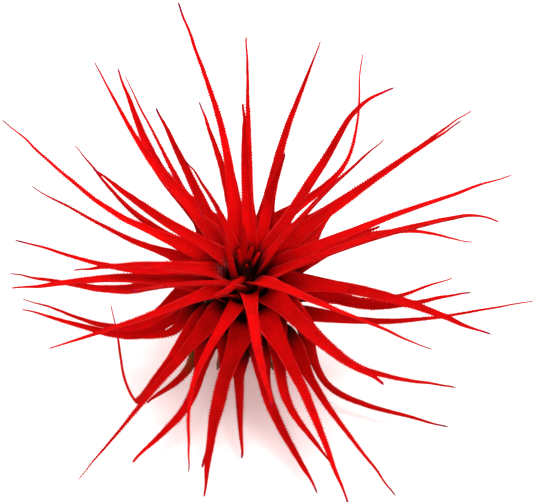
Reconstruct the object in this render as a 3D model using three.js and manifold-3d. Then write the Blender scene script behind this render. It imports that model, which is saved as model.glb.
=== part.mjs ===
import * as THREE from "three";
import { mergeVertices } from "three/addons/utils/BufferGeometryUtils.js";
import Module from "manifold-3d";

// An air plant: a rosette of narrow channelled leaves on the rounded top of a short leaning stem.
// Sizes are in millimetres and angles in degrees. The plant's own frame has its axis on +Z and the
// middle of the crown at 0. It leans towards -Y and stands on the plane Z = 0 by its cut foot.
const crownHeight = 32; // from the ground up to the middle of the crown
const lean = 15; // of the plant's axis

const domeRadius = 9.4; // the stem's rounded top, which the leaves stand on
const domeDepth = 14.6; // from the middle of the crown down to the dome's centre
const domeAngles = [14, 28, 42, 56, 70, 84, 98]; // of the stem's rings round the dome, from the axis
const waist = [[7.8, 20.5], [6.2, 24], [5, 27.5]]; // radius and depth of the stem's rings below the dome
const footRadius = 5.4; // of the flat cut that the plant stands on
const stemSides = 20;

const goldenAngle = 137.508; // from each leaf round the axis to the next younger one
const firstBearing = 210; // where the oldest leaf is rooted
const oldestRoot = 78; // the angle from the axis at which the oldest leaf stands on the dome
const youngestRoot = 13; // and the youngest
const lowering = 26; // how much further down the oldest leaf stands than the others' even steps give
const loweredRanks = 26; // the leaves over which that eases out
const heartRoots = [8, 2.5]; // the same for the heart's leaves
const rootGap = 0.3; // between the dome and a leaf's root
const shoulderReach = [2.5, 8]; // from a leaf's root out to its shoulder, of the oldest and the youngest
const heartReach = 4.5; // the same for the heart's leaves
const shoulderShare = 0.7; // the youngest leaf's angle from the axis there, as a share of its root's

const sheathHalfAngle = 28; // how far a leaf's base reaches round the axis to each side
const sheathWidth = 6.2; // of a base that nothing narrows
const sheathEnds = [0.06, 0.32]; // where along a leaf its base turns into its blade
const bladeWidth = 5; // where the taper starts
const tipWidth = 0.62;
const bladeThickness = 0.65;
const tipThickness = 0.6;
const edgeThinning = 0.35; // share of the thickness lost half way to a blade's edge, times four
const channel = 0.13; // depth of a blade's channel, as a share of its width
const channelRest = 0.4; // the share of that depth which lies below the centre line
const leafPlaces = [0, 0.06, 0.13, 0.21, 0.3, 0.4, 0.5, 0.6, 0.7, 0.8, 0.89, 0.95]; // rings along a leaf
const heartPlaces = [0, 0.12, 0.25, 0.4, 0.55, 0.7, 0.85, 0.94]; // along a leaf of the heart
const dryPlaces = [0, 0.2, 0.38, 0.55, 0.7, 0.83, 0.93]; // along a dry leaf
const scalePlaces = [0, 0.4, 0.65, 0.85]; // and along a dry scale
const ringSpans = [-1, -0.5, 0, 0.5, 1, 0.5, 0, -0.5]; // a ring's points across: outer face, inner face

const viewRise = 48; // of the viewpoint that the rows below are seen from

// One row a leaf, from the oldest to the youngest. Places are seen from in front, viewRise above the
// ground, and measured from the middle of the crown: across to the right, up, and near to the viewer.
// A row holds the tip (across, up, near), the leaf's middle (across, up), how far the middle arches
// above the line from root to tip, the width share, the taper (1 is even, more narrows sooner) and,
// on a few, a bend short of the tip.
const leafRows = [
  [[-22, -29, -5], [-13, -21.5], 0, 0.75, 1.2],
  [[45, -34.5, -8], [18.5, -25.5], -2.5, 0.65, 1.5],
  [[-40.5, 29.5, -32], [-26.5, 14], 2, 0.85, 1.8],
  [[-1, -41, -4], [-1.5, -27], 2, 0.8, 1.4],
  [[18, 10.5, -26], [12, 2], 1.1, 0.9, 1.2],
  [[-51, -8.5, -16], [-23.5, -14], 0.2, 0.95, 1.2],
  [[32.5, -48.5, 3], [16.5, -27.5], 2, 0.8, 1.9],
  [[-3, 23, -30], [-1, 7], 3, 0.9, 1.2],
  [[-25, -42, -4], [-12.5, -28.5], 2, 0.85, 1.3],
  [[47, -1.5, -20], [26.5, -7], 2, 0.95, 1.3],
  [[-49, 19.5, -18], [-27, 7.5], 2, 0.65, 1.9],
  [[15.5, -48, 2], [5, -28], 2, 0.8, 1],
  [[21, 15, -28], [11, 5], 4.9, 0.9, 1.2],
  [[-25.5, -14.5, -5], [-16, -13], 1, 0.9, 1.2],
  [[64, -6.5, -8], [30.5, -11], 2, 0.65, 1.7],
  [[-30.5, 47.5, -33], [-19.5, 22.5], 2, 1.1, 1.1],
  [[-9.5, -42.5, 2], [-5, -26.5], 2, 0.8, 1.1],
  [[51.5, 6.5, -18], [34, 9], 2, 0.95, 1.3],
  [[-54, -0.5, -18], [-27, -4], 2, 0.95, 1.3],
  [[19, -41.5, 6], [9, -28], 1, 0.95, 1.3],
  [[26.5, 50, -22], [22, 24], 2, 0.8, 2],
  [[-30.2, -7, -10], [-19, -22.5], 1, 0.6, 1.2, [-25.3, -28.3, -9]],
  [[49.5, -4.5, -3], [27, -7.5], 2, 0.9, 1.3],
  [[-28.5, 45.5, -28], [-18, 25], 2, 0.8, 2],
  [[-9, -48.5, 5], [-6, -28], 2, 1.1, 0.9],
  [[51, 36.5, -16], [27, 19.5], 2, 0.95, 1.5],
  [[-50.5, -6, -12], [-24.5, -12], 2, 1, 1.3],
  [[45.5, -25, 3], [23, -20], 2, 1.05, 1.6],
  [[-11, 39, -22], [-5.5, 23], 2, 0.9, 1.6],
  [[-36, -44.5, 8], [-18.3, -23.5], 2.75, 1, 1.7],
  [[29.5, 10, -4], [20.5, 6.5], 0.5, 1.1, 1],
  [[-55.5, 34.5, -15], [-30, 13.5], 2, 0.75, 2],
  [[22.5, -51, 10], [12.5, -26], 2, 1.1, 1.4],
  [[16.5, 51, -4], [8, 28], 2, 0.95, 1.3],
  [[-51, -3.5, 3], [-26, -1.5], 2, 1.15, 0.8],
  [[53, -13.5, 5], [28, -5], 2, 1.05, 1],
  [[-35, 48, -20], [-21.5, 25], 2, 1.15, 1.4],
  [[-11.5, -41, 25], [-11, -23.5], 2, 0.7, 1.4],
  [[47, 33, 2], [25, 18], -0.9, 1.05, 1.4],
  [[-50.5, 7, 0], [-25, 0.5], 2, 0.85, 1.7],
  [[29.5, -24, 10], [18, -16.5], 2, 1.25, 0.9],
  [[0, 52.5, -9], [0.5, 28], 2, 0.95, 1.7],
  [[-41.5, -16, 15], [-22.5, -10], 2, 0.95, 1.3],
  [[59, 21.5, -6], [29, 11], 3.3, 0.95, 1.5],
  [[-19, 35, 12], [-12, 20], 2, 0.95, 1],
  [[5.5, -26.5, 36], [2.5, -15], 2, 0.75, 1.1],
  [[8.5, 25.5, 8], [5, 15.5], -1, 0.95, 0.8],
  [[-35.5, 0.5, 22], [-22.5, 1.5], 2, 0.95, 1.1],
  [[54, 10.5, 12], [30, 8], 3.25, 0.9, 1, [49.5, 12, 11]],
  [[-15, 59.5, -3], [-5.5, 31.5], 2, 0.95, 1.9],
  [[-22.5, -3.5, 33], [-12.5, -2.5], 0.8, 0.75, 1.1],
  [[32, 39.5, 8], [16.5, 23], 3, 1.1, 1.2, [25, 36, 7]],
  [[-32.5, 22, 10], [-20, 12.5], 3, 0.95, 1.1],
  [[38.5, -15.5, 28], [21, -8.5], 7.15, 0.9, 1.2],
  [[-0.5, 36, 12], [0, 22.5], 2, 1, 1.3],
  [[-9, 12.5, 26], [-4.5, 7.5], 2, 0.75, 1.2],
  [[29, 28, 20], [16, 16], 2, 0.95, 1.1],
  [[-12.5, 23.5, 17], [-6.5, 14.5], 2, 0.9, 2],
];

// The youngest leaves, still gathered in the crown's heart, in the same terms.
const heartRows = [
  [[-0.5, 10.5, 9], [-0.5, 5], 1, 0.6, 1],
  [[-6.5, -5, 16], [-3.5, -3], 5, 0.5, 1],
  [[3, 4.5, 5], [1.5, 1.5], 1, 0.45, 1],
  [[-1.5, 5, 5], [-1, 1.5], 1, 0.45, 1],
  [[1.5, 6, 6], [0.5, 2.5], 1, 0.4, 1],
  [[0.5, 1.5, 3.5], [0.2, 0], 0, 0.35, 1],
];
const buttonProfile = [[0, -4.9], [1.4, -4.9], [1.3, -4.3], [0.7, -3], [0, -2.5]]; // the heart's core
const buttonSides = 10;

// Dry leaves low at the back, in the stem's own body: bearing, tip radius, tip depth and width share.
const dryRows = [
  [52, 30, 33, 0.9],
  [84, 34, 30, 0.9],
  [118, 31, 33, 0.95],
  [150, 26, 31, 0.85],
];
const dryRoot = 112; // the angle from the axis at which they leave the dome
const dryStart = 7.6; // how far from the dome's centre they start, well inside the stem

// Short dry scales round the lower stem, and cut root stubs round the foot.
const scaleCount = 9;
const scaleRoot = [110, 128]; // angles from the axis of the first and the last scale
const scaleReach = [6.5, 4.5]; // how far they stand out and down
const scaleWidth = 0.95;
const dryTaper = 1.1;
const rootStubs = [[20, 6.5], [95, 8], [160, 6], [215, 7.5], [310, 7]]; // bearing and length
const stubThickness = 1.3;
const stubSides = 6;

const leafRed = new THREE.MeshStandardMaterial({ color: 0xd4101a, roughness: 0.78, metalness: 0 });
const heartRed = new THREE.MeshStandardMaterial({ color: 0xb80c14, roughness: 0.8, metalness: 0 });
const dryBrown = new THREE.MeshStandardMaterial({ color: 0x7d5a3e, roughness: 0.9, metalness: 0 });

const oldest = leafRows.length - 1; // rank counts from 0 for the oldest leaf to this for the youngest
const rad = THREE.MathUtils.degToRad;
const { lerp, smoothstep } = THREE.MathUtils;
const domeCentre = new THREE.Vector3(0, 0, -domeDepth);
const viewTurn = rad(90 - viewRise - lean); // from the plant's own frame to the view's

// A direction from its bearing round the axis and its rise above the plane across the axis.
function direction(bearing, rise) {
  return new THREE.Vector3(1, 0, 0).applyEuler(new THREE.Euler(0, -rad(rise), rad(bearing), "ZYX"));
}

// A place in the plant's own frame, from where it is seen: across, above and near.
function fromView(across, above, near) {
  const back = above * Math.cos(viewTurn) - near * Math.sin(viewTurn);
  return new THREE.Vector3(across, back, above * Math.sin(viewTurn) + near * Math.cos(viewTurn));
}

// How near a place lies that is seen this far above and stands at a height along the axis.
function nearAt(above, height) {
  return (height - above * Math.sin(viewTurn)) / Math.cos(viewTurn);
}

// A leaf's centre line: straight out of the dome, then over its middle to its tip.
function centreLine(row, rank, rootAngle) {
  const [tipSeen, middleSeen, arch, , , bend] = row;
  const bearing = firstBearing + goldenAngle * rank;
  const root = domeCentre.clone().addScaledVector(direction(bearing, 90 - rootAngle), domeRadius + rootGap);
  const youth = Math.min(1, rank / oldest);
  const shoulderAngle = rootAngle * lerp(1, shoulderShare, youth);
  const reach = rank > oldest ? heartReach : lerp(...shoulderReach, youth);
  const shoulderRadius = domeRadius + rootGap + reach;
  const shoulder = domeCentre.clone().addScaledVector(direction(bearing, 90 - shoulderAngle), shoulderRadius);
  const tip = fromView(...tipSeen);
  const middle = fromView(...middleSeen, nearAt(middleSeen[1], (root.z + tip.z) / 2 + arch));
  const bends = bend ? [fromView(...bend)] : [];
  return new THREE.CatmullRomCurve3([root, shoulder, middle, ...bends, tip], false, "centripetal");
}

// The rings along a leaf, each with its place, its frame and its section's sizes. Near the root a
// section is an arc round the plant's axis, so that the leaves' bases nest. Further out it is a channel.
function ringsOf(curve, widthShare, taper, places) {
  const normal = new THREE.Vector3();
  let before = null;
  return [...places, 1].map((place) => {
    const at = curve.getPointAt(place);
    const along = curve.getTangentAt(place);
    if (before) normal.applyQuaternion(new THREE.Quaternion().setFromUnitVectors(before, along));
    else normal.set(-at.x, -at.y, 0).normalize();
    normal.addScaledVector(along, -normal.dot(along)).normalize();
    before = along;
    const fromAxis = Math.hypot(at.x, at.y);
    const widest = 2 * fromAxis * Math.sin(rad(sheathHalfAngle));
    const blade = lerp(tipWidth, bladeWidth * widthShare, (1 - place) ** taper);
    const opening = smoothstep(place, ...sheathEnds);
    const sheath = Math.min(sheathWidth * widthShare, widest);
    const width = Math.max(tipWidth, Math.min(widest, lerp(sheath, blade, opening)));
    const arc = fromAxis - Math.sqrt(Math.max(0, fromAxis ** 2 - width ** 2 / 4));
    return {
      at,
      normal: normal.clone(),
      side: new THREE.Vector3().crossVectors(along, normal),
      width,
      thickness: lerp(bladeThickness, tipThickness, place),
      hollow: lerp(arc, channel * width, opening),
    };
  });
}

// A closed blade over its rings, with a flat root and a pointed tip.
function bladeGeometry(rings) {
  const count = ringSpans.length;
  const last = rings.length - 1;
  const points = rings.slice(0, last).flatMap((ring) =>
    ringSpans.map((span, i) => {
      const half = Math.abs(span) === 1 ? 0 : (ring.thickness / 2) * (1 - edgeThinning * span ** 2);
      const outer = i > 0 && i < count / 2;
      const lift = ring.hollow * (span ** 2 - channelRest) + (outer ? -half : half);
      const edge = ring.at.clone().addScaledVector(ring.side, (span * ring.width) / 2);
      return edge.addScaledVector(ring.normal, lift);
    }),
  );
  const tip = points.push(rings[last].at) - 1;
  const faces = [7, 0, 1, 7, 1, 6, 6, 1, 2, 6, 2, 5, 5, 2, 3, 5, 3, 4];
  for (let ring = 0; ring < last; ring++) {
    for (let i = 0; i < count; i++) {
      const a = count * ring + i;
      const b = count * ring + ((i + 1) % count);
      if (ring === last - 1) faces.push(b, a, tip);
      else if (i < count / 2) faces.push(b, a, b + count, b + count, a, a + count);
      else faces.push(b, a, a + count, b + count, b, a + count);
    }
  }
  return new THREE.BufferGeometry().setFromPoints(points).setIndex(faces);
}

// A leaf from its row.
function leafBlade(row, rank, rootAngle, places) {
  const [, , , widthShare, taper] = row;
  return bladeGeometry(ringsOf(centreLine(row, rank, rootAngle), widthShare, taper, places));
}

const wasm = await Module();
wasm.setup();

// A closed geometry as a solid, for joining.
function solidOf(geometry) {
  const bare = geometry.index ? geometry.toNonIndexed() : geometry.clone();
  bare.deleteAttribute("normal");
  bare.deleteAttribute("uv");
  const merged = mergeVertices(bare, 1e-4);
  return new wasm.Manifold(
    new wasm.Mesh({
      numProp: 3,
      vertProperties: merged.attributes.position.array,
      triVerts: new Uint32Array(merged.index.array),
    }),
  );
}

// The solids joined into one, as a geometry.
function joined(geometries) {
  const solid = geometries.map(solidOf).reduce((sum, next) => sum.add(next));
  const { vertProperties, triVerts } = solid.getMesh();
  return new THREE.BufferGeometry()
    .setAttribute("position", new THREE.BufferAttribute(vertProperties, 3))
    .setIndex(new THREE.BufferAttribute(triVerts, 1));
}

// The depth below the crown at which the ground cuts the stem, this far back from the axis.
function groundDepth(back) {
  return (crownHeight + back * Math.sin(rad(lean))) / Math.cos(rad(lean));
}

// The stem: the dome, a waist and a flat foot cut level with the ground.
function stemGeometry() {
  const rings = [
    ...domeAngles.map((angle) => [
      domeRadius * Math.sin(rad(angle)),
      () => domeDepth - domeRadius * Math.cos(rad(angle)),
    ]),
    ...waist.map(([radius, depth]) => [radius, () => depth]),
    [footRadius, groundDepth],
  ];
  const points = [new THREE.Vector3(0, 0, domeRadius - domeDepth)];
  for (const [radius, depthAt] of rings) {
    for (let i = 0; i < stemSides; i++) {
      const flat = direction((360 * i) / stemSides, 0).multiplyScalar(radius);
      points.push(flat.setZ(-depthAt(flat.y)));
    }
  }
  const foot = points.push(new THREE.Vector3(0, 0, -groundDepth(0))) - 1;
  const faces = [];
  for (let i = 0; i < stemSides; i++) {
    const next = (i + 1) % stemSides;
    faces.push(0, 1 + i, 1 + next);
    for (let ring = 0; ring < rings.length - 1; ring++) {
      const a = 1 + ring * stemSides;
      faces.push(a + i, a + stemSides + i, a + next, a + next, a + stemSides + i, a + stemSides + next);
    }
    faces.push(foot - stemSides + next, foot - stemSides + i, foot);
  }
  return new THREE.BufferGeometry().setFromPoints(points).setIndex(faces);
}

// A dry leaf or scale, from inside the stem over a shoulder and down to its tip.
function dryBlade(bearing, rootAngle, tipRadius, tipDepth, widthShare, places) {
  const outward = direction(bearing, 90 - rootAngle);
  const root = domeCentre.clone().addScaledVector(outward, dryStart);
  const tip = direction(bearing, 0).multiplyScalar(tipRadius).setZ(-tipDepth);
  const shoulder = root.clone().lerp(tip, 0.4).addScaledVector(outward, 0.1 * root.distanceTo(tip));
  const curve = new THREE.CatmullRomCurve3([root, shoulder, tip], false, "centripetal");
  return bladeGeometry(ringsOf(curve, widthShare, dryTaper, places));
}

// A root stub, from inside the stem out and down to just above the ground.
function stubGeometry(bearing, length) {
  const flat = direction(bearing, 0);
  const start = flat.clone().multiplyScalar(footRadius - 2);
  const end = flat.clone().multiplyScalar(footRadius + length);
  start.z = -(groundDepth(start.y) - 3 * stubThickness);
  end.z = -(groundDepth(end.y) - stubThickness);
  const middle = start.clone().lerp(end, 0.5);
  middle.z += 0.8 * stubThickness;
  const path = new THREE.CatmullRomCurve3([start, middle, end]);
  const section = new THREE.Shape();
  section.absarc(0, 0, stubThickness / 2, 0, 2 * Math.PI);
  return new THREE.ExtrudeGeometry(section, {
    steps: 4,
    curveSegments: stubSides / 2,
    extrudePath: path,
  });
}

const plant = new THREE.Group();
plant.rotation.x = rad(lean);
plant.position.set(0, -crownHeight * Math.tan(rad(lean)), crownHeight);

function addPiece(name, geometry, material) {
  const mesh = new THREE.Mesh(geometry, material);
  mesh.name = name;
  plant.add(mesh);
}

leafRows.forEach((row, rank) => {
  const lowered = lowering * (1 - smoothstep(rank, 0, loweredRanks));
  const rootAngle = lerp(oldestRoot, youngestRoot, rank / oldest) + lowered;
  const blade = leafBlade(row, rank, rootAngle, leafPlaces);
  addPiece("leaf_" + String(rank + 1).padStart(2, "0"), blade, leafRed);
});

const heartBlades = heartRows.map((row, i) => {
  const rootAngle = lerp(...heartRoots, i / (heartRows.length - 1));
  return leafBlade(row, leafRows.length + i, rootAngle, heartPlaces);
});
const button = new THREE.LatheGeometry(
  buttonProfile.map(([radius, height]) => new THREE.Vector2(radius, height)),
  buttonSides,
).rotateX(Math.PI / 2);
addPiece("heart", joined([button, ...heartBlades]), heartRed);

const dryLeaves = dryRows.map(([bearing, radius, depth, share]) =>
  dryBlade(bearing, dryRoot, radius, depth, share, dryPlaces),
);
const scales = Array.from({ length: scaleCount }, (_, i) => {
  const rootAngle = lerp(...scaleRoot, i / (scaleCount - 1));
  const bearing = firstBearing - goldenAngle * (i + 1);
  const out = domeRadius * Math.sin(rad(rootAngle)) + scaleReach[0];
  const depth = domeDepth - domeRadius * Math.cos(rad(rootAngle)) + scaleReach[1];
  return dryBlade(bearing, rootAngle, out, depth, scaleWidth, scalePlaces);
});
const stubs = rootStubs.map(([bearing, length]) => stubGeometry(bearing, length));
addPiece("stem", joined([stemGeometry(), ...dryLeaves, ...scales, ...stubs]), dryBrown);

export default plant;
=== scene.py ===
import math
import bmesh
import bpy
import numpy as np
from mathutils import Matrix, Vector, noise


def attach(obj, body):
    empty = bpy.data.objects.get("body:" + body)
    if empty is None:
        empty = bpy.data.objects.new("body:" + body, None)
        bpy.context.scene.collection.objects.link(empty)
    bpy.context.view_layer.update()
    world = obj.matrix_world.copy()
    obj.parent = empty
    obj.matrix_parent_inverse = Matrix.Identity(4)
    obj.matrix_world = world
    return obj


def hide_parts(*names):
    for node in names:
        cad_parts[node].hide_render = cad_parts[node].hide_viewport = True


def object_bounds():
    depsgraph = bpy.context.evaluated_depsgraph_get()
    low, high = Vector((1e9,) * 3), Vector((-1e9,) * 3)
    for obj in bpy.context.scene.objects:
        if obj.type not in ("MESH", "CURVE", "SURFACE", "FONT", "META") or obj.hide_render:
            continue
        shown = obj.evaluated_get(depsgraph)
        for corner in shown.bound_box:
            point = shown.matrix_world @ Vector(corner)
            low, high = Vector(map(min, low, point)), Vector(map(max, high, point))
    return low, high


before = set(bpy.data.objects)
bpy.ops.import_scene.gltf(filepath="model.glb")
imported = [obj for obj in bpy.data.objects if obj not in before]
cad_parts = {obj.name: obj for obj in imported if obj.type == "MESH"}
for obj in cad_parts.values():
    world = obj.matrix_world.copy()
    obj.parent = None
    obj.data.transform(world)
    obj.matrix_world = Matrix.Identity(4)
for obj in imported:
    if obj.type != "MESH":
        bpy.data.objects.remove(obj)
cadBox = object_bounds()
mm = 0.001


def srgb(red, green, blue):
    # A colour given as 0 to 255 on a screen, as a shader takes it.
    def linear(value):
        value /= 255
        return value / 12.92 if value <= 0.04045 else ((value + 0.055) / 1.055) ** 2.4
    return (linear(red), linear(green), linear(blue), 1.0)


def placed(name, data):
    made = bpy.data.objects.new(name, data)
    bpy.context.scene.collection.objects.link(made)
    return made


def newObject(name, points, faces):
    mesh = bpy.data.meshes.new(name)
    mesh.from_pydata([tuple(p) for p in points], [], faces)
    mesh.update()
    return placed(name, mesh)


# Node helpers.
def feed(tree, node, given):
    # Gives each named or numbered socket a plain value, or wires another node's output to it.
    for key, value in given.items():
        if isinstance(value, bpy.types.NodeSocket):
            tree.links.new(value, node.inputs[key])
        else:
            node.inputs[key].default_value = value


def addNode(tree, kind, given=None, **settings):
    node = tree.nodes.new(kind)
    for key, value in settings.items():
        setattr(node, key, value)
    feed(tree, node, given or {})
    return node


def times(tree, first, second):
    return addNode(tree, "ShaderNodeMath", {0: first, 1: second}, operation="MULTIPLY").outputs[0]


def mathNode(tree, operation, first, second=0.0):
    return addNode(tree, "ShaderNodeMath", {0: first, 1: second}, operation=operation).outputs[0]


def rangeNode(tree, value, low, high, toLow=0.0, toHigh=1.0):
    given = dict(enumerate((value, low, high, toLow, toHigh)))
    return addNode(tree, "ShaderNodeMapRange", given, clamp=True).outputs[0]


def mixColour(tree, factor, first, second):
    return addNode(tree, "ShaderNodeMix", {0: factor, 6: first, 7: second}, data_type="RGBA").outputs[2]


def layered(tree, colour, layers):
    # Lays colours over the first one in turn, each where its mask is.
    for mask, over in layers:
        colour = mixColour(tree, mask, colour, over)
    return colour


def attributeNode(tree, name):
    return addNode(tree, "ShaderNodeAttribute", attribute_name=name).outputs["Fac"]


def newMaterial(name):
    material = bpy.data.materials.new(name)
    material.use_nodes = True
    tree = material.node_tree
    return material, tree, tree.nodes["Principled BSDF"]


def newGroup(name, kind, inputs, outputs):
    # A node group with its named sockets, each given as its type and its value, if it has one.
    tree = bpy.data.node_groups.new(name, kind)
    for way, sockets in (("INPUT", inputs), ("OUTPUT", outputs)):
        for socketName, (socketKind, value) in sockets.items():
            made = tree.interface.new_socket(socketName, in_out=way, socket_type=f"NodeSocket{socketKind}")
            if value is not None:
                made.default_value = value
    return tree, addNode(tree, "NodeGroupInput").outputs, addNode(tree, "NodeGroupOutput")


# Camera, floor and light.
view = {
    "rise": 48,  # degrees above the ground
    "crown": (0, -8.574, 32),  # mm, the middle of the crown
    "aside": 4.457,  # mm from the crown to the middle of the picture, to the right
    "above": 4.565,  # mm, and up in the picture
    "distance": 430,  # mm
    "width": 115.87,  # mm seen across the picture at that distance
    "sensor": 36,  # mm
    "nearest": 0.01,  # m, the nearest that shows
}


def makeCamera():
    rise = math.radians(view["rise"])
    up = Vector((0, math.sin(rise), math.cos(rise)))
    toward = Vector((0, -math.cos(rise), math.sin(rise)))
    aim = Vector(view["crown"]) + Vector((view["aside"], 0, 0)) + up * view["above"]
    data = bpy.data.cameras.new("photoCamera")
    data.sensor_width = view["sensor"]
    data.lens = view["sensor"] * view["distance"] / view["width"]
    data.clip_start = view["nearest"]
    camera = placed("photoCamera", data)
    camera.location = (aim + toward * view["distance"]) * mm
    camera.rotation_euler = (math.pi / 2 - rise, 0, 0)
    bpy.context.scene.camera = camera


studio = {
    "floorSize": 1.1,  # m
    "floorColour": (0.595, 0.585, 0.585, 1),
    "floorRoughness": 0.9,
    "floorSpecular": 0.1,
    "floorGlow": (1, 0.3, 0.28, 1),  # painted pink glow: the floor glows red, which shows only in the shade under the leaves, standing in for light bounced off them
    "glowStrength": 0.24,
    "skyColour": (1, 1, 1, 1),
    "skyStrength": 1.12,
    "keyPower": 14.4,  # watts
    "keySize": 0.75,  # m
    "keyPlace": (0.03, 0.22, 0.8),
    "fillPower": 4.0,
    "fillSize": 0.6,
    "fillPlace": (0.25, -0.62, 0.5),
    "aim": (0, 0, 0.03),  # m, where both lights point
}


def areaLight(name, power, size, place):
    data = bpy.data.lights.new(name, "AREA")
    data.energy = power
    data.size = size
    light = placed(name, data)
    light.location = place
    light.rotation_euler = (Vector(studio["aim"]) - Vector(place)).to_track_quat("-Z", "Y").to_euler()


def makeLight():
    scene = bpy.context.scene
    scene.view_settings.view_transform = "Standard"
    scene.view_settings.look = "None"
    world = bpy.data.worlds.new("paleRoom")
    world.use_nodes = True
    sky = world.node_tree.nodes["Background"]
    feed(world.node_tree, sky, {"Color": studio["skyColour"], "Strength": studio["skyStrength"]})
    scene.world = world
    areaLight("keyLight", studio["keyPower"], studio["keySize"], studio["keyPlace"])
    areaLight("fillLight", studio["fillPower"], studio["fillSize"], studio["fillPlace"])


def makeFloor():
    half = studio["floorSize"] / 2
    corners = [(-half, -half, 0), (half, -half, 0), (half, half, 0), (-half, half, 0)]
    floor = newObject("floor", corners, [(0, 1, 2, 3)])
    paint, tree, shader = newMaterial("paleFloor")
    feed(tree, shader, {
        "Base Color": studio["floorColour"],
        "Roughness": studio["floorRoughness"],
        "Specular IOR Level": studio["floorSpecular"],
        # Painted glow: the floor glows red, so its shade under the leaves turns pink.
        "Emission Color": studio["floorGlow"],
        "Emission Strength": studio["glowStrength"],
    })
    floor.data.materials.append(paint)


makeCamera()
makeLight()
makeFloor()
print("camera, floor and lights are in place")


# Reading a solid blade, which is rings of eight points, from its tip back to its root.
ringSize = 8
mergeGap = 1e-6  # m, points closer than this are one
ringPlaces = {  # a point's place in its ring, by the places that it is joined to in the ring nearer the tip
    (0, 1, 7): 0, (1, 2): 1, (2, 3): 2, (3, 4): 3,
    (4,): 4, (4, 5): 5, (5, 6): 6, (6, 7): 7,
}
linksBehind = [1, 2, 2, 2, 3, 2, 2, 2]  # how many points of the ring behind each place is joined to


def mergedCopy(node):
    work = bmesh.new()
    work.from_mesh(node.data)
    bmesh.ops.remove_doubles(work, verts=work.verts, dist=mergeGap)
    work.verts.ensure_lookup_table()
    return work


def linked(vert):
    return [edge.other_vert(vert) for edge in vert.link_edges]


def ringAtTip(tip):
    # The ring that closes in the tip, from place 0 round to place 7, or none if this is no tip.
    members = set(linked(tip))
    behind = {w: sum(1 for v in linked(w) if v not in members and v is not tip) for w in linked(tip)}
    if sorted(behind.values()) != sorted(linksBehind):
        return []
    ring = [next(w for w in linked(tip) if behind[w] == linksBehind[0])]
    while len(ring) < ringSize:
        onward = [v for v in linked(ring[-1]) if v in members and v not in ring]
        if not onward:
            return []
        ring.append(onward[0])
    return ring


def ringsFromTip(tip):
    first = ringAtTip(tip)
    if not first:
        return []
    rings = [first]
    seen = {tip, *first}
    while True:
        place = {v: i for i, v in enumerate(rings[-1])}
        found = {v for w in rings[-1] for v in linked(w) if v not in seen}
        spots = {}
        for v in found:
            pattern = tuple(sorted(place[w] for w in linked(v) if w in place))
            spots[ringPlaces.get(pattern)] = v
        if len(found) != ringSize or set(spots) != set(range(ringSize)):
            return rings
        rings.append([spots[i] for i in range(ringSize)])
        seen |= found


def stationsFrom(tip, rings):
    # Middle, half width, hollow and thickness of each ring, from root to tip.
    points = np.array([[v.co for v in ring] for ring in reversed(rings)])
    middle = (points[:, 2] + points[:, 6]) / 2
    hollow = (points[:, 0] + points[:, 4]) / 2 - middle
    thickness = points[:, 6] - points[:, 2]
    if (hollow * thickness).sum() < 0:  # read the other way round
        points = points[:, [-i % ringSize for i in range(ringSize)]]
        thickness = -thickness
    half = (points[:, 4] - points[:, 0]) / 2
    middle = np.vstack([middle, [tip.co]])
    ends = (half[-1] * blade["tipShare"], hollow[-1] * blade["tipShare"], thickness[-1])
    half, hollow, thickness = (np.vstack([a, [e]]) for a, e in zip((half, hollow, thickness), ends))
    return {"middle": middle, "half": half, "hollow": hollow, "thickness": thickness}


# Finer blades over what was read.
def smoothRows(places, rows, wanted):
    # A smooth curve through the rows, read at the wanted places.
    slopes = np.gradient(rows, places, axis=0)
    spot = np.clip(np.searchsorted(places, wanted, side="right") - 1, 0, len(places) - 2)
    gap = (places[spot + 1] - places[spot])[:, None]
    t = (wanted - places[spot])[:, None] / gap
    start = rows[spot] * (1 + 2 * t) * (1 - t) ** 2 + slopes[spot] * gap * t * (1 - t) ** 2
    end = rows[spot + 1] * t ** 2 * (3 - 2 * t) + slopes[spot + 1] * gap * t ** 2 * (t - 1)
    return start + end


def ramp(low, high, value):
    # Rises smoothly from 0 at low to 1 at high.
    t = np.clip((value - low) / (high - low), 0, 1)
    return t * t * (3 - 2 * t)


def unit(rows):
    shortest = 1e-12
    return rows / np.maximum(np.linalg.norm(rows, axis=-1, keepdims=True), shortest)


def waves(places, seed):
    # A slow random wave along a blade, another one for each seed.
    row, layer = seed * blade["seedStep"], blade["noiseLayer"]
    return np.array([noise.noise(Vector((p, row, layer))) for p in places])


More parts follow.
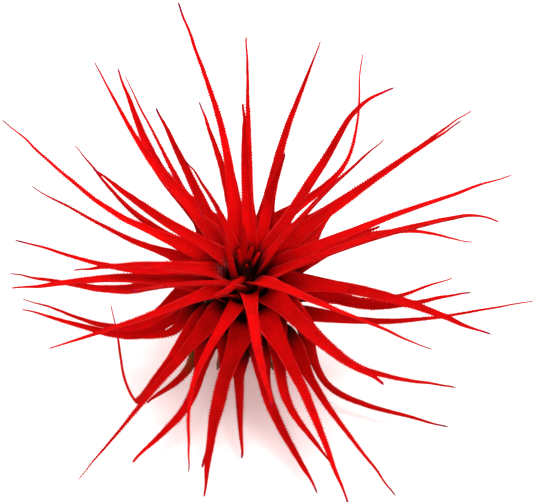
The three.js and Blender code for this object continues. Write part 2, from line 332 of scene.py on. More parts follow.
# Places along a blade are shares of its length from the root. A pair is where a change starts and ends.
blade = {
    "rings": 58,
    "across": (-1, -0.9, -0.66, -0.33, 0, 0.33, 0.66, 0.9, 1),  # places over a blade's width
    "thickness": 0.88,  # share of the solid blade's thickness
    "edgeThinner": 0.25,  # how much thinner the blade gets towards its margins
    "slimmer": 0.12,  # share of the solid's width that the rolled blade loses
    "slimmerOver": (0.12, 0.4),
    "outerOver": (0.3, 0.7),  # where a leaf takes its own outer width
    "threadOver": (0.82, 0.97),  # where a leaf narrows to its thread
    "threadWidth": (0.6, 0.9),  # its width there, as a share
    "threadThinner": 0.5,  # share of its thickness that it loses there
    "roundFrom": 0.985,  # where the very tip starts to close
    "youngRoundFrom": 0.93,
    "tipShare": 0.8,  # the width at the solid's tip, as a share of its last ring's
    "sway": 0.12,  # mm, small bends of the blade
    "swayOver": (0.1, 0.35),  # where they set in
    "tipSway": 0.45,  # mm, larger ones of its thread
    "tipSwayOver": (0.7, 0.97),
    "tipCalm": 0.7,  # share of them that the very tip loses
    "tipCalmOver": (0.93, 1),
    "swayLength": 7,  # mm
    "sidewaysCloser": 1.3,  # how much closer the sideways bends follow each other
    "inwardSeed": 0.37,  # added to the seed for the bends inwards
    "seedStep": 7.31,  # how far apart two blades lie in the noise
    "noiseLayer": 0.5,
    "marginJitter": 0.05,  # mm, unevenness of the margins
    "jitterRange": (-0.6, 1),  # shares of it, in and out
    "jitterRise": 8,  # how fast it sets in from the root
    "deeper": 2.3,  # how much deeper the channel is than the solid blade's
    "sink": 0.4,  # share of the added depth that the middle line goes back
    "domeCentre": (0, -4.8, 17.9),  # mm, of the stem's dome
    "darkDome": (11.5, 17.5),  # mm from that centre, painted shade from black to none
    "crownHole": (0.3, -8, 32.7),  # mm, the hole that the youngest leaves rise from, with painted shade around it
    "darkHole": (3.2, 7.2),  # mm from there, painted shade from black to none
    "darkHeart": (2.0, 4.2),  # the same painted shade for the youngest leaves
    "frost": (-4.5, -9.2, 32.6),  # mm, where silver scales still show beside the hole
    "frostReach": (1.4, 3.6),  # mm from there, full to none
    "dryFrom": (0.9, 0.985),  # where the dry tip starts, drawn for each leaf
    "dryOver": 0.07,
    "rootFringe": 0.35,  # height of teeth and scales at the root, as a share
    "fringeRise": (0.15, 0.5),
    "tipFringe": 0.5,  # and at the tip
    "fringeFall": (0.6, 0.95),
    "undyedEnds": (0.3, 0.62),
}
bladeValues = ("margin", "tint", "dryness", "paintedShade", "frost", "undyed", "fringe")
bladeVectors = ("outward", "onward")


def bladeShape(stations, along, seed, threadWidth, outer, young):
    # Middle line, half width, hollow and thickness at each place along the finer blade.
    middle = stations["middle"]
    length = np.concatenate([[0], np.cumsum(np.linalg.norm(np.diff(middle, axis=0), axis=1))])
    total = length[-1]
    spine, half, hollow, thickness = (
        smoothRows(length / total, rows, along)
        for rows in (middle, stations["half"], stations["hollow"], stations["thickness"]))
    forward = unit(np.gradient(spine, axis=0))
    sideways, inward = unit(half), unit(thickness)
    reach = blade["sway"] + (blade["tipSway"] - blade["sway"]) * ramp(*blade["tipSwayOver"], along)
    reach = reach * ramp(*blade["swayOver"], along)
    reach = reach * (1 - blade["tipCalm"] * ramp(*blade["tipCalmOver"], along)) * mm
    drift = along * total / mm / blade["swayLength"]
    spine = spine + sideways * (reach * waves(drift * blade["sidewaysCloser"], seed))[:, None]
    spine = spine + inward * (reach * waves(drift, seed + blade["inwardSeed"]))[:, None]
    thread = np.zeros(len(along))
    width = np.ones(len(along))
    if not young:
        thread = ramp(*blade["threadOver"], along)
        width = 1 - (1 - threadWidth) * thread
        width = width * (1 - blade["slimmer"] * ramp(*blade["slimmerOver"], along))
        width = width * (1 - (1 - outer) * ramp(*blade["outerOver"], along))
    point = blade["youngRoundFrom"] if young else blade["roundFrom"]
    closing = np.sqrt(1 - ((along - point) / (1 - point)).clip(0, 1) ** 2)
    extra = hollow * (blade["deeper"] - 1)
    thin = blade["thickness"] * (1 - blade["threadThinner"] * thread) * closing
    return {
        "spine": spine - extra * (blade["sink"] * closing)[:, None],
        "half": half * (width * closing)[:, None],
        "hollow": (hollow + extra) * (width * closing)[:, None],
        "thickness": thickness * thin[:, None],
        "width": width,
        "forward": forward,
        "sideways": sideways,
    }


def bladeRing(shape, k, rise, spans, rng):
    # One ring of points: along the underside from margin to margin, then back over the face.
    sides = spans[:, None]
    flat = shape["spine"][k] + shape["half"][k] * sides + shape["hollow"][k] * sides ** 2
    profile = (1 - blade["edgeThinner"] * sides ** 2) * np.sqrt(1 - sides ** 4) / 2
    raised = shape["thickness"][k] * profile
    below, above = flat - raised, flat + raised
    jitter = rng.uniform(*blade["jitterRange"], 2) * blade["marginJitter"] * mm * rise * shape["width"][k]
    below[0] -= shape["sideways"][k] * jitter[0]
    below[-1] += shape["sideways"][k] * jitter[1]
    return [*below, *above[-2:0:-1]]


def tubeFaces(rings, size):
    # The faces between rings of points that follow each other.
    faces = []
    for start in range(0, (rings - 1) * size, size):
        for i in range(size):
            j = (i + 1) % size
            faces.append((start + i, start + j, start + size + j, start + size + i))
    return faces


def bladeFaces(count, steps):
    size = 2 * steps - 2
    last, tip = (count - 1) * size, count * size
    faces = tubeFaces(count, size)
    faces += [(last + i, last + (i + 1) % size, tip) for i in range(size)]
    faces += [(0, size - 1, 1), (steps - 2, steps, steps - 1)]
    faces += [(i, size - i, size - i - 1, i + 1) for i in range(1, steps - 2)]
    return faces


def paintedShadeAt(places, young):
    # How much painted shade each place in mm gets, from 0 to 1: black deep in the crown and none further
    # out.
    fromHole = np.linalg.norm(places - blade["crownHole"], axis=1)
    if young:
        return 1 - ramp(*blade["darkHeart"], fromHole)
    fromDome = np.linalg.norm(places - blade["domeCentre"], axis=1)
    return np.maximum(1 - ramp(*blade["darkDome"], fromDome), 1 - ramp(*blade["darkHole"], fromHole))


def fringeHeight(alongs):
    grown = blade["rootFringe"] + (1 - blade["rootFringe"]) * ramp(*blade["fringeRise"], alongs)
    return grown - (1 - blade["tipFringe"]) * ramp(*blade["fringeFall"], alongs)


def bladeSkin(stations, seed, ringCount=None, dryFrom=None, undyed=0.0, outer=1.0, young=False):
    # One fine closed blade over the stations, with its UV places and attributes.
    rng = np.random.default_rng(seed)
    count = ringCount or blade["rings"]
    along = np.linspace(0, 1, count + 1)
    shape = bladeShape(stations, along, seed, rng.uniform(*blade["threadWidth"]), outer, young)
    spans = np.array(blade["across"])
    around = np.concatenate([spans, spans[-2:0:-1]])
    size = len(around)
    points = []
    for k in range(count):
        rise = min(1, blade["jitterRise"] * along[k])
        points += bladeRing(shape, k, rise, spans, rng)
    points = np.array([*points, shape["spine"][-1]])
    across = np.append(np.tile((around + 1) / 2, count), 0.5)
    alongs = np.append(np.repeat(along[:-1], size), 1)
    sides = np.where(around > 0, 1, -1)
    outward = (shape["sideways"][:-1, None] * sides[:, None]).reshape(-1, 3)
    dry = rng.uniform(*blade["dryFrom"]) if dryFrom is None else dryFrom
    fromFrost = np.linalg.norm(points / mm - blade["frost"], axis=1)
    return {
        "points": points,
        "faces": bladeFaces(count, len(spans)),
        "uv": np.column_stack([across, alongs]),
        "margin": np.append(np.tile(np.where(abs(around) == 1, 1.0, 0.0), count), 1),
        "outward": np.vstack([outward, shape["forward"][-1]]),
        "onward": np.vstack([np.repeat(shape["forward"][:-1], size, axis=0), shape["forward"][-1]]),
        "tint": np.full(len(points), rng.uniform(0, 1)),
        "dryness": ramp(dry, dry + blade["dryOver"], alongs),
        # Painted shade, black deep in the crown.
        "paintedShade": paintedShadeAt(points / mm, young),
        "frost": 1 - ramp(*blade["frostReach"], fromFrost),
        "fringe": fringeHeight(alongs),
        "undyed": undyed * (1 - ramp(*blade["undyedEnds"], alongs)),
    }


def skinObject(name, skins):
    # Joins blades into one mesh with their UV map and attributes.
    start = 0
    points, faces = [], []
    for skin in skins:
        points.append(skin["points"])
        faces += [tuple(i + start for i in face) for face in skin["faces"]]
        start += len(skin["points"])
    made = newObject(name, np.vstack(points), faces)
    mesh = made.data
    work = bmesh.new()
    work.from_mesh(mesh)
    bmesh.ops.recalc_face_normals(work, faces=work.faces)
    work.to_mesh(mesh)
    work.free()
    uv = np.vstack([skin["uv"] for skin in skins])
    corners = np.empty(len(mesh.loops), dtype=np.int32)
    mesh.loops.foreach_get("vertex_index", corners)
    layer = mesh.uv_layers.new(name="bladeUV")
    layer.data.foreach_set("uv", uv[corners].ravel())
    for key in bladeValues:
        attribute = mesh.attributes.new(key, "FLOAT", "POINT")
        attribute.data.foreach_set("value", np.concatenate([skin[key] for skin in skins]))
    for key in bladeVectors:
        attribute = mesh.attributes.new(key, "FLOAT_VECTOR", "POINT")
        attribute.data.foreach_set("vector", np.vstack([skin[key] for skin in skins]).ravel())
    mesh.polygons.foreach_set("use_smooth", [True] * len(mesh.polygons))
    return made


# Shared effects: the felt of tiny scales and the ribs along a blade.
feltRule = {
    "dome": (0.1, 0.75, 1, 0),  # distance from a scale's middle, and its height there
    "grainShare": 0.55,  # how many grains there are to a scale
    "grainDetail": 3,
    "grainShows": (0.42, 0.62),  # the grain where no scale shows, and all do
    "patchDetail": 2,
    "patchRange": (0.35, 0.68),
    "domeShare": 0.6,  # of the height, and the rest is grain
}


def makeFeltGroup():
    rule = feltRule
    tree, enter, leave = newGroup("scaleFelt", "ShaderNodeTree", {
        "Vector": ("Vector", None), "Scale Size": ("Float", None), "Patch Size": ("Float", None),
    }, {"Flecks": ("Float", None), "Patches": ("Float", None), "Height": ("Float", None)})
    place = enter["Vector"]
    fine = mathNode(tree, "DIVIDE", 1.0, enter["Scale Size"])
    coarse = mathNode(tree, "DIVIDE", 1.0, enter["Patch Size"])
    cells = addNode(tree, "ShaderNodeTexVoronoi", {"Vector": place, "Scale": fine}, feature="F1")
    grain = addNode(tree, "ShaderNodeTexNoise", {
        "Vector": place, "Scale": times(tree, fine, rule["grainShare"]), "Detail": rule["grainDetail"]})
    patch = addNode(tree, "ShaderNodeTexNoise", {
        "Vector": place, "Scale": coarse, "Detail": rule["patchDetail"]})
    dome = rangeNode(tree, cells.outputs["Distance"], *rule["dome"])
    shows = rangeNode(tree, grain.outputs["Fac"], *rule["grainShows"])
    rough = times(tree, grain.outputs["Fac"], 1 - rule["domeShare"])
    feed(tree, leave, {
        "Flecks": times(tree, dome, shows),
        "Patches": rangeNode(tree, patch.outputs["Fac"], *rule["patchRange"]),
        "Height": mathNode(tree, "ADD", times(tree, dome, rule["domeShare"]), rough),
    })
    return tree


ribRule = {
    "drift": 0.06,  # how far the ribs wander, as a share of the blade's width
    "driftScale": 6,
    "margin": (0.41, 0.5),  # from the blade's middle, where the pale margin, partly a painted rim highlight, starts and ends
}


def makeRibGroup():
    rule = ribRule
    tree, enter, leave = newGroup("lengthRibs", "ShaderNodeTree", {
        "UV": ("Vector", None), "Ribs": ("Float", None),
    }, {"Ridge": ("Float", None), "Margin": ("Float", None)})
    across = addNode(tree, "ShaderNodeSeparateXYZ", {0: enter["UV"]}).outputs[0]
    wander = addNode(tree, "ShaderNodeTexNoise", {
        "Vector": enter["UV"], "Scale": rule["driftScale"]}, noise_dimensions="2D")
    drift = times(tree, mathNode(tree, "SUBTRACT", wander.outputs["Fac"], 0.5), rule["drift"])
    turns = times(tree, mathNode(tree, "ADD", across, drift), enter["Ribs"])
    fromMiddle = mathNode(tree, "ABSOLUTE", mathNode(tree, "SUBTRACT", across, 0.5))
    feed(tree, leave, {
        "Ridge": rangeNode(tree, mathNode(tree, "SINE", times(tree, turns, 2 * math.pi)), -1, 1),
        "Margin": rangeNode(tree, fromMiddle, *rule["margin"]),
    })
    return tree


leafLook = {
    "bright": srgb(174, 0, 1),
    "deep": srgb(124, 0, 0),
    "crownShadeColour": srgb(14, 0, 0),  # painted shade deep in the crown, at the roots of the leaves
    # A pale margin, partly the leaf's own paler edge and partly a painted rim highlight.
    "paleMarginAndHighlight": srgb(220, 44, 44),
    "silver": srgb(128, 88, 92),
    "frost": srgb(172, 128, 130),
    "fleckPale": srgb(184, 10, 12),
    "dryTip": srgb(140, 0, 28),
    "dryEnd": srgb(96, 2, 34),
    "undyed": srgb(72, 60, 20),
    "tintShare": 0.55,  # of the shade that is a leaf's own, and the rest is patches
    "ridgeShare": 0.3,
    "fleckShare": 0.2,
    "marginShows": (0.35, 0.9, 0.03, 0.5),  # patches, and how much of the pale margin and its painted rim highlight shows there
    "crownShadeShare": 0.97,
    "silverShows": (0.1, 0.8, 0, 0.06),  # painted crown shade, and how much silver shows there
    "frostShows": (0.3, 0.55, 0, 0.7),  # flecks, and how much frost shows on them
    "dryTipOver": (0, 0.6),
    "dryEndOver": (0.55, 1),
    "roughness": 0.85,
    "specular": 0.03,
    "sheen": 0.02,
    "sheenRoughness": 0.45,
    "sheenTint": srgb(255, 70, 60),
    "ribs": 5.2,
    "ribHeight": 0.6,  # beside the felt's height of 1
    "scaleSize": 0.00026,  # m
    "patchSize": 0.004,
    "bump": 0.5,
    "bumpDistance": 0.00012,  # m
}


def makeLeafMaterial(felt, ribs):
    look = leafLook
    material, tree, shader = newMaterial("dyedLeaf")
    place = addNode(tree, "ShaderNodeTexCoord").outputs["Object"]
    uv = addNode(tree, "ShaderNodeUVMap", uv_map="bladeUV").outputs["UV"]
    scurf = addNode(tree, "ShaderNodeGroup", node_tree=felt)
    feed(tree, scurf, {"Vector": place, "Scale Size": look["scaleSize"], "Patch Size": look["patchSize"]})
    lines = addNode(tree, "ShaderNodeGroup", node_tree=ribs)
    feed(tree, lines, {"UV": uv, "Ribs": look["ribs"]})
    flecks, patches = scurf.outputs["Flecks"], scurf.outputs["Patches"]
    ridge, paintedShade, dry = lines.outputs["Ridge"], attributeNode(tree, "paintedShade"), attributeNode(tree, "dryness")
    shade = mathNode(tree, "ADD", times(tree, attributeNode(tree, "tint"), look["tintShare"]),
                     times(tree, patches, 1 - look["tintShare"]))
    pale = rangeNode(tree, patches, *look["marginShows"])
    silver = rangeNode(tree, paintedShade, *look["silverShows"])
    dots = rangeNode(tree, flecks, *look["frostShows"])
    colour = layered(tree, look["bright"], [
        (shade, look["deep"]),
        (times(tree, ridge, look["ridgeShare"]), look["deep"]),
        (times(tree, flecks, look["fleckShare"]), look["fleckPale"]),
        # A pale margin, partly the leaf's own paler edge and partly a painted rim highlight.
        (times(tree, lines.outputs["Margin"], pale), look["paleMarginAndHighlight"]),
        # Painted shade, black deep in the crown.
        (times(tree, paintedShade, look["crownShadeShare"]), look["crownShadeColour"]),
        (times(tree, flecks, silver), look["silver"]),
        (times(tree, dots, attributeNode(tree, "frost")), look["frost"]),
        (attributeNode(tree, "undyed"), look["undyed"]),
        (rangeNode(tree, dry, *look["dryTipOver"]), look["dryTip"]),
        (rangeNode(tree, dry, *look["dryEndOver"]), look["dryEnd"]),
    ])
    height = mathNode(tree, "ADD", times(tree, ridge, look["ribHeight"]), scurf.outputs["Height"])
    bump = addNode(tree, "ShaderNodeBump", {
        "Strength": look["bump"], "Distance": look["bumpDistance"], "Height": height})
    feed(tree, shader, {
        "Base Color": colour,
        "Roughness": look["roughness"],
        "Specular IOR Level": look["specular"],
        "Sheen Weight": look["sheen"],
        "Sheen Roughness": look["sheenRoughness"],
        "Sheen Tint": look["sheenTint"],
        "Normal": bump.outputs[0],
    })
    return material


hairLook = {
    "margin": srgb(118, 0, 8),
    "red": srgb(164, 0, 3),
    "pale": srgb(186, 18, 20),
    "dry": srgb(96, 0, 26),
    "redOver": (0.1, 0.5),  # from the margin's shade to the red one
    "paleOver": (0.5, 1),
    "crownShadeShare": 0.8,
    "roughness": 0.7,
    "specular": 0.03,
}


def makeHairMaterial():
    look = hairLook
    material, tree, shader = newMaterial("scaleHairs")
    shade = attributeNode(tree, "hairShade")
    colour = layered(tree, look["margin"], [
        (rangeNode(tree, shade, *look["redOver"]), look["red"]),
        (rangeNode(tree, shade, *look["paleOver"]), look["pale"]),
        # Painted shade on the spikes deep in the crown.
        (times(tree, attributeNode(tree, "paintedShade"), look["crownShadeShare"]), leafLook["crownShadeColour"]),
        (attributeNode(tree, "dryness"), look["dry"]),
    ])
    feed(tree, shader, {
        "Base Color": colour, "Roughness": look["roughness"], "Specular IOR Level": look["specular"]})
    return material


# Fringe and felt: small pointed scales along the margins and over the faces of a blade.
fuzz = {
    "Tooth Spacing": 0.00066,  # m
    "Tooth Height": 0.00044,
    "Scale Density": 1.9e6,  # per square metre
    "Scale Height": 0.00026,
    "Seed": 11,
}
# A tooth and a face scale: sizes are shares of the height, and shades go from dark 0 to pale 1.
toothRule = {
    "foot": 0.48,  # half width at the foot, as a share of the height
    "outward": 1.0,  # how much it points out, and onward to the tip
    "onward": 0.5,
    "strew": 0.12,  # random turn
    "strewSeed": 3,
    "sizes": (0.75, 1.1),
    "shades": (0.15, 0.6),
}
scaleRule = {
    "foot": 0.3,
    "outward": 0.75,
    "onward": 1.0,
    "strew": 0.45,
    "strewSeed": 5,
    "sizes": (0.4, 1.1),
    "shades": (0.3, 1),
}
shadeSeed = 9
leastShade = 0.1  # under it the mesh is the blade, not a spike
leastMargin = 0.99  # under it a point isn't on the margin


def liveSocket(sockets, name):
    # Of the sockets with this name, the one for the node's kind of data.
    return next(s for s in sockets if s.enabled and s.name == name)


def randomNode(tree, low, high, seed, kind="FLOAT"):
    node = addNode(tree, "FunctionNodeRandomValue", {"Seed": seed}, data_type=kind)
    for name, value in (("Min", low), ("Max", high)):
        liveSocket(node.inputs, name).default_value = (value,) * 3 if kind == "FLOAT_VECTOR" else value
    return liveSocket(node.outputs, "Value")


def namedAttribute(tree, name, kind="FLOAT"):
    node = addNode(tree, "GeometryNodeInputNamedAttribute", {"Name": name}, data_type=kind)
    return liveSocket(node.outputs, "Attribute")


def spikeWay(tree, outward, rule):
    # The way that spikes point: outward, onward along the blade, and a little at random.
    strewn = randomNode(tree, -rule["strew"], rule["strew"], rule["strewSeed"], "FLOAT_VECTOR")
    way = strewn
    for source, amount in ((outward, rule["outward"]),
                           (namedAttribute(tree, "onward", "FLOAT_VECTOR"), rule["onward"])):
        scaled = addNode(tree, "ShaderNodeVectorMath", {0: source, "Scale": amount}, operation="SCALE")
        way = addNode(tree, "ShaderNodeVectorMath", {0: way, 1: scaled.outputs[0]}).outputs[0]
    return way


def spikesOn(tree, points, way, rule, height, seed):
    # Stands a three-sided spike on each point, turned its way, sized and shaded at random.
    cone = addNode(tree, "GeometryNodeMeshCone", {
        "Vertices": 3, "Radius Top": 0, "Radius Bottom": rule["foot"], "Depth": 1}, fill_type="NGON")
    turned = addNode(tree, "FunctionNodeAlignRotationToVector", {"Vector": way}, axis="Z")
    tall = times(tree, height, namedAttribute(tree, "fringe"))
    spikes = addNode(tree, "GeometryNodeInstanceOnPoints", {
        "Points": points,
        "Instance": cone.outputs["Mesh"],
        "Rotation": turned.outputs[0],
        "Scale": times(tree, randomNode(tree, *rule["sizes"], seed), tall),
    })
    mark = addNode(tree, "GeometryNodeStoreNamedAttribute", {
        "Geometry": spikes.outputs[0], "Name": "hairShade"}, data_type="FLOAT", domain="INSTANCE")
    tree.links.new(randomNode(tree, *rule["shades"], shadeSeed), liveSocket(mark.inputs, "Value"))
    return mark.outputs[0]


def makeFuzzTree():
    sizes = {name: ("Int" if name == "Seed" else "Float", value) for name, value in fuzz.items()}
    tree, given, leave = newGroup("bladeFuzz", "GeometryNodeTree", {
        "Geometry": ("Geometry", None), **sizes, "Hair Material": ("Material", None),
    }, {"Geometry": ("Geometry", None)})
    tree.is_modifier = True
    skin, seed = given["Geometry"], given["Seed"]
    onMargin = mathNode(tree, "GREATER_THAN", namedAttribute(tree, "margin"), leastMargin)
    lines = addNode(tree, "GeometryNodeMeshToCurve", {"Mesh": skin, "Selection": onMargin})
    even = addNode(tree, "GeometryNodeResampleCurve", mode="LENGTH")
    feed(tree, even, {"Curve": lines.outputs[0], "Length": given["Tooth Spacing"]})
    outward = namedAttribute(tree, "outward", "FLOAT_VECTOR")
    teeth = spikesOn(tree, even.outputs[0], spikeWay(tree, outward, toothRule), toothRule,
                     given["Tooth Height"], seed)
    spread = addNode(tree, "GeometryNodeDistributePointsOnFaces", distribute_method="RANDOM")
    feed(tree, spread, {"Mesh": skin, "Density": given["Scale Density"], "Seed": seed})
    scales = spikesOn(tree, spread.outputs["Points"], spikeWay(tree, spread.outputs["Normal"], scaleRule),
                      scaleRule, given["Scale Height"], seed)
    whole = addNode(tree, "GeometryNodeJoinGeometry")
    for part in (skin, teeth, scales):
        tree.links.new(part, whole.inputs[0])
    real = addNode(tree, "GeometryNodeRealizeInstances", {0: whole.outputs[0]})
    onSpikes = mathNode(tree, "GREATER_THAN", namedAttribute(tree, "hairShade"), leastShade)
    paint = addNode(tree, "GeometryNodeSetMaterial", {
        "Geometry": real.outputs[0], "Selection": onSpikes, "Material": given["Hair Material"]})
    feed(tree, leave, {0: paint.outputs[0]})
    return tree


def inputKey(tree, name):
    return next(s.identifier for s in tree.interface.items_tree if s.in_out == "INPUT" and s.name == name)


def dressed(base, name, tree, values):
    # Runs a node tree on the base mesh and keeps the result as a plain piece.
    modifier = base.modifiers.new("grown", "NODES")
    modifier.node_group = tree
    for key, value in values.items():
        modifier[inputKey(tree, key)] = value
    made = bpy.data.meshes.new_from_object(base.evaluated_get(bpy.context.evaluated_depsgraph_get()))
    base.modifiers.remove(modifier)
    bpy.data.objects.remove(base)
    made.name = name
    points = np.empty(len(made.vertices) * 3)
    made.vertices.foreach_get("co", points)
    points = np.clip(points.reshape(-1, 3), cadBox[0], cadBox[1])
    made.vertices.foreach_set("co", points.ravel())
    made.update()
    return placed(name, made)


def finishPiece(piece, nodeName):
    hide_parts(nodeName)
    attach(piece, "root")


felt, ribs = makeFeltGroup(), makeRibGroup()
dyedLeaf = makeLeafMaterial(felt, ribs)
scaleHairs = makeHairMaterial()
fuzzTree = makeFuzzTree()
print("materials and the fuzz tree are made")


undyedLeaves = {"leaf_01": 0.9}  # share of the root half that the dye left green
# Leaves whose outer half is slimmer or fuller than the solid's, by its share.
outerWidths = {
    0.6: [10, 27, 54, 57],
    0.7: [15, 18, 21, 24, 30, 37, 38],
    0.8: [3, 6, 11, 19, 22, 26, 35, 43, 47, 48, 58],
    0.9: [7, 16, 23, 28, 32, 34, 39, 40, 42],
    1.12: [2, 9, 29, 36, 50, 55],
    1.2: [1, 49, 52, 53],
}


def makeLeaves():
    names = sorted(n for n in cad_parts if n.startswith("leaf_"))
    triangles = 0
    for number, nodeName in enumerate(names, start=1):
        work = mergedCopy(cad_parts[nodeName])
        found = [(v, ringsFromTip(v)) for v in work.verts if len(v.link_edges) == ringSize]
        tip, rings = max(found, key=lambda pair: len(pair[1]))
        undyed = undyedLeaves.get(nodeName, 0.0)
        outer = next((share for share, numbers in outerWidths.items() if number in numbers), 1.0)
        skin = bladeSkin(stationsFrom(tip, rings), number, undyed=undyed, outer=outer)
        work.free()
        base = skinObject("bladeBase", [skin])
        base.data.materials.append(dyedLeaf)
        values = {"Seed": fuzz["Seed"] + number, "Hair Material": scaleHairs}
        piece = dressed(base, f"redLeaf_{number:02d}", fuzzTree, values)
        finishPiece(piece, nodeName)
        triangles += sum(len(p.vertices) - 2 for p in piece.data.polygons)
    print(f"{len(names)} leaves, {triangles} triangles")


makeLeaves()


heart = {
    "thickness": 0.55,  # mm
    "hollow": 0.12,  # depth of the channel, as a share of the width
    "rings": 34,
    "firstSeed": 200,
    "seed": 91,  # of its teeth and scales
    "toothHeight": 0.0003,  # m
    "scaleHeight": 0.0002,
    "dryFrom": 1.2,  # past the tip, so none is dry
    "coreSides": 20,
    "coreAxis": (-7.4, 27),  # mm, its Y at that height
    "coreLean": 15,  # degrees towards the front
    "coreTint": 0.6,
}

# One row a young leaf: its line from root to tip in mm, where it faces, and its widths along it.
heartLeaves = [
    ([(-0.1, -8.6, 26.8), (-0.1, -9.6, 31.5), (-0.4, -7.6, 36), (-0.5, -6.7, 41), (-0.5, -6.8, 45.7)],
     (0.1, 0.95, 0.1), [1.4, 1.9, 1.7, 1.2, 0.6]),
    ([(0.6, -6.8, 27.2), (0.2, -8.9, 31), (-1.5, -12.6, 33.8), (-3.8, -18, 37.2), (-6.5, -23, 40.5)],
     (-0.5, -0.1, -0.85), [1.1, 1.3, 1.5, 1.3, 0.5]),
    ([(-1, -7.3, 27.2), (-0.9, -8.2, 30.4), (0.8, -8.4, 33.5), (3, -8.6, 38.5)],
     (0.9, 0.1, -0.1), [1, 1.2, 1.2, 0.9]),
    ([(0.6, -7.8, 27.1), (0.6, -8.8, 30.1), (-0.6, -8.7, 33.5), (-1.5, -8.2, 39)],
     (-0.7, 0.7, 0.1), [1, 1.2, 1.2, 0.9]),
    ([(-0.1, -6.7, 27.4), (-0.1, -7.6, 30.6), (0.5, -7.8, 35), (1.3, -8.1, 39.8)],
     (0.1, -0.95, -0.2), [0.9, 1.1, 1.1, 0.8]),
    ([(-0.3, -7.6, 27.2), (-0.3, -8.4, 29.5), (0.1, -8.8, 32.5), (0.4, -9.8, 35.8)],
     (0.7, 0.6, 0.1), [0.8, 1, 0.9, 0.7]),
    ([(0.5, -7, 27.2), (1, -7.4, 31), (0.6, -7, 34.5), (0.3, -6.9, 36.6)],
     (0, -1, 0), [0.8, 1, 0.9, 0.6]),
    ([(-1, -7, 27.2), (-1.4, -7.6, 31), (-1.9, -7.3, 34), (-2.4, -7.2, 36)],
     (0.9, -0.3, 0), [0.8, 1, 0.9, 0.6]),
]
# Radius and height of the core's rings, mm.
heartCore = [(0.2, 22.6), (1.5, 22.6), (1.7, 24.5), (1.6, 26.6), (1.1, 28), (0.5, 28.8), (0.1, 29)]


def heartStations(line, faces, widths):
    if len(widths) != len(line):
        raise ValueError("a young leaf needs one width for each point of its line")
    middle = np.array(line, dtype=float) * mm
    onward = unit(np.gradient(middle, axis=0))
    facing = np.array(faces, dtype=float)
    inward = unit(facing[None, :] - onward * (onward @ facing)[:, None])
    width = np.array(widths)[:, None] * mm
    return {
        "middle": middle,
        "half": np.cross(onward, inward) * width / 2,
        "hollow": inward * width * heart["hollow"],
        "thickness": inward * heart["thickness"] * mm,
    }


def coreSkin():
    # The plain core that the young leaves stand on.
    sides, rings = heart["coreSides"], len(heartCore)
    axisY, axisHeight = heart["coreAxis"]
    lean = math.tan(math.radians(heart["coreLean"]))
    points = []
    for radius, height in heartCore:
        middle = axisY + lean * (axisHeight - height)
        for i in range(sides):
            turn = 2 * math.pi * i / sides
            points.append((radius * math.cos(turn), middle + radius * math.sin(turn), height))
    faces = tubeFaces(rings, sides)
    faces.append(tuple(reversed(range(sides))))
    faces.append(tuple(range((rings - 1) * sides, rings * sides)))
    zeros, up = np.zeros(len(points)), np.full((len(points), 3), (0, 0, 1.0))
    skin = {**{key: zeros for key in bladeValues}, **{key: up for key in bladeVectors}}
    # The whole core gets the crown's full painted shade.
    return {**skin, "points": np.array(points) * mm, "faces": faces, "uv": np.full((len(points), 2), 0.5),
            "tint": zeros + heart["coreTint"], "paintedShade": zeros + 1}


def makeHeart():
    skins = [coreSkin()]
    for seed, row in enumerate(heartLeaves, start=heart["firstSeed"]):
        stations = heartStations(*row)
        skins.append(bladeSkin(stations, seed, heart["rings"], dryFrom=heart["dryFrom"], young=True))
    base = skinObject("heartBase", skins)
    base.data.materials.append(dyedLeaf)
    values = {"Seed": heart["seed"], "Hair Material": scaleHairs,
              "Tooth Height": heart["toothHeight"], "Scale Height": heart["scaleHeight"]}
    finishPiece(dressed(base, "youngLeaves", fuzzTree, values), "heart")
    print("the heart's young leaves are in")


makeHeart()


# The stem with its dry leaves, scales and root stubs.
stem = {
    "longestEdge": 1.3,  # mm
    "splits": 3,  # times that longer edges are halved
    "bark": 0.22,  # mm, depth of its unevenness
    "barkLength": 2.2,  # mm
    "fineBark": 0.5,  # finer unevenness, its depth and length as shares
    "fineLength": 0.4,
    "footHeight": 1.2,  # mm, up to there the cut foot stays even
    "darkDome": (11.2, 15.2),  # mm from the dome's centre, painted shade from dark to none
    "darkFrom": (-1, 2),  # mm over that centre, painted shade from none to dark
    "stainFrom": (-16, -6),  # mm, the same for the dye that ran down
}

stemLook = {
    "bark": srgb(112, 88, 62),
    "barkDark": srgb(58, 40, 28),
    # Painted shade on the stem's top inside the crown.
    "crownShadeColour": srgb(30, 2, 2),
    "dyeStain": srgb(120, 20, 14),
    "fleck": srgb(178, 160, 134),
    "fleckShare": 0.35,
    "scaleSize": 0.00045,  # m
    "patchSize": 0.0035,
    "grain": (900, 900, 160),  # per metre, long grain up the stem
    "grainDetail": 4,
    "grainShows": (0.38, 0.64),
    "roughness": 0.9,
    "specular": 0.15,
    "bump": 0.7,
    "bumpDistance": 0.0002,  # m
}


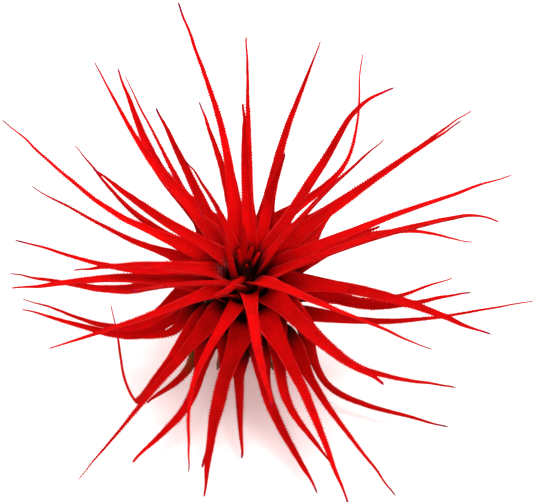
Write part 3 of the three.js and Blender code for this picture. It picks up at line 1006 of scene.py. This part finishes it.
def makeStemMaterial(felt):
    look = stemLook
    material, tree, shader = newMaterial("driedStem")
    place = addNode(tree, "ShaderNodeTexCoord").outputs["Object"]
    scurf = addNode(tree, "ShaderNodeGroup", node_tree=felt)
    feed(tree, scurf, {"Vector": place, "Scale Size": look["scaleSize"], "Patch Size": look["patchSize"]})
    streak = addNode(tree, "ShaderNodeMapping", {"Vector": place, "Scale": look["grain"]})
    grain = addNode(tree, "ShaderNodeTexNoise", {
        "Vector": streak.outputs[0], "Scale": 1, "Detail": look["grainDetail"]})
    lines = rangeNode(tree, grain.outputs["Fac"], *look["grainShows"])
    stain = times(tree, attributeNode(tree, "stain"), scurf.outputs["Patches"])
    colour = layered(tree, look["barkDark"], [
        (lines, look["bark"]),
        (times(tree, scurf.outputs["Flecks"], look["fleckShare"]), look["fleck"]),
        (stain, look["dyeStain"]),
        # Painted shade, dark on the stem's top inside the crown.
        (attributeNode(tree, "paintedShade"), look["crownShadeColour"]),
    ])
    height = mathNode(tree, "ADD", lines, scurf.outputs["Height"])
    bump = addNode(tree, "ShaderNodeBump", {
        "Strength": look["bump"], "Distance": look["bumpDistance"], "Height": height})
    feed(tree, shader, {
        "Base Color": colour,
        "Roughness": look["roughness"],
        "Specular IOR Level": look["specular"],
        "Normal": bump.outputs[0],
    })
    return material


def slope(low, high, value):
    # Rises straight from 0 at low to 1 at high.
    return min(1, max(0, (value - low) / (high - low)))


def makeStem():
    work = mergedCopy(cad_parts["stem"])
    for _ in range(stem["splits"]):
        longEdges = [e for e in work.edges if e.calc_length() > stem["longestEdge"] * mm]
        if longEdges:
            bmesh.ops.subdivide_edges(work, edges=longEdges, cuts=1)
            bmesh.ops.triangulate(work, faces=[f for f in work.faces if len(f.verts) > 4])
    work.normal_update()
    centre = Vector(blade["domeCentre"])
    coarse, fine = stem["barkLength"], stem["barkLength"] * stem["fineLength"]
    paintedShade, stain = [], []
    for v in work.verts:
        place = v.co / mm
        rough = noise.noise(place / coarse) + stem["fineBark"] * noise.noise(place / fine)
        if place.z > stem["footHeight"]:
            v.co += v.normal * rough * stem["bark"] * mm
        fromCentre = place - centre
        # Painted shade: darker inside the dome and towards its top.
        inside = 1 - slope(*stem["darkDome"], fromCentre.length)
        paintedShade.append(inside * slope(*stem["darkFrom"], fromCentre.z))
        stain.append(slope(*stem["stainFrom"], fromCentre.z))
    mesh = bpy.data.meshes.new("driedStem")
    work.to_mesh(mesh)
    work.free()
    for key, values in (("paintedShade", paintedShade), ("stain", stain)):
        mesh.attributes.new(key, "FLOAT", "POINT").data.foreach_set("value", values)
    mesh.polygons.foreach_set("use_smooth", [True] * len(mesh.polygons))
    mesh.materials.append(makeStemMaterial(felt))
    finishPiece(placed("driedStem", mesh), "stem")
    print(f"stem, {len(mesh.polygons)} faces")


makeStem()
